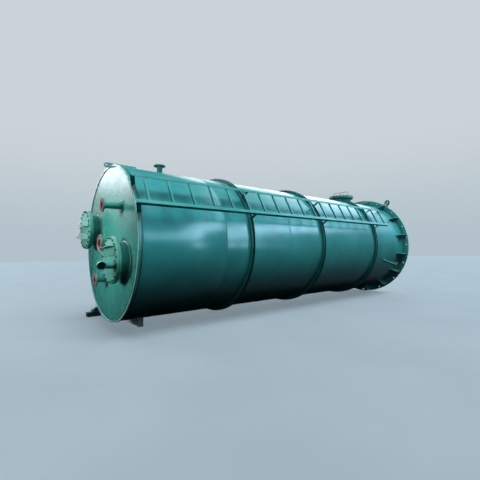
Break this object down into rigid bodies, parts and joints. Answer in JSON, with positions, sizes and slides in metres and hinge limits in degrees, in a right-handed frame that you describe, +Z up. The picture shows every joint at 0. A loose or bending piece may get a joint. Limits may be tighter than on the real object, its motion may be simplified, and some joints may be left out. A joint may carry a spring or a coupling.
{
  "type": "oxidation tower",
  "caption": "Welded steel process tower lying on its side, with stiffening rings, a ladder, flanged manways and nozzles, and a gusseted base ring.",
  "frame": {"origin": "centre of the base ring's underside, on the vessel's axis", "axes": "+X along the vessel's axis, out of the base ring's underside, so the top head is towards -X; +Z up as the vessel lies; +Y to the far side, away from the ladder"},
  "size_m": [6.957, 2.596, 2.518],
  "materials": {
    "shell_paint": "gloss teal paint",
    "head_paint": "gloss pale green paint",
    "ladder_paint": "gloss green paint",
    "handle_paint": "dull cream paint",
    "rest_timber": "tarred, dull",
    "saddle_timber": "weathered grey, dull",
    "stop_paint": "painted green"
  },
  "bodies": {
    "root": {"top_head": "head_paint", "shell_course_1": "shell_paint", "shell_course_2": "shell_paint", "shell_course_3": "shell_paint", "shell_course_4": "shell_paint", "shell_course_5": "shell_paint", "bottom_plate": "shell_paint", "base_ring": "shell_paint", "base_gussets": "shell_paint", "end_band": "shell_paint", "stiffening_ring_1": "shell_paint", "stiffening_ring_2": "shell_paint", "stiffening_ring_3": "shell_paint", "ladder_near_stringer": "ladder_paint", "ladder_far_stringer": "ladder_paint", "ladder_upper_rungs": "ladder_paint", "ladder_lower_rungs": "ladder_paint", "ladder_near_brackets": "ladder_paint", "ladder_far_brackets": "ladder_paint", "near_manway_neck": "head_paint", "near_manway_cover": "head_paint", "near_manway_ribs": "head_paint", "vent_elbow": "head_paint", "far_manway_neck": "head_paint", "far_manway_cover": "head_paint", "far_manway_ribs": "head_paint", "side_manway_neck": "shell_paint", "side_manway_cover": "shell_paint", "side_manway_handle": "handle_paint", "upper_nozzle": "head_paint", "upper_nozzle_pad": "head_paint", "middle_nozzle": "head_paint", "lower_nozzle": "head_paint", "vent_nozzle": "shell_paint", "drain_nozzle": "shell_paint", "lifting_plate": "shell_paint", "tailing_lug": "shell_paint", "rest_beam": "rest_timber", "rest_runner": "rest_timber", "rest_saddle": "saddle_timber", "rest_stop": "stop_paint"}
  },
  "joints": []
}
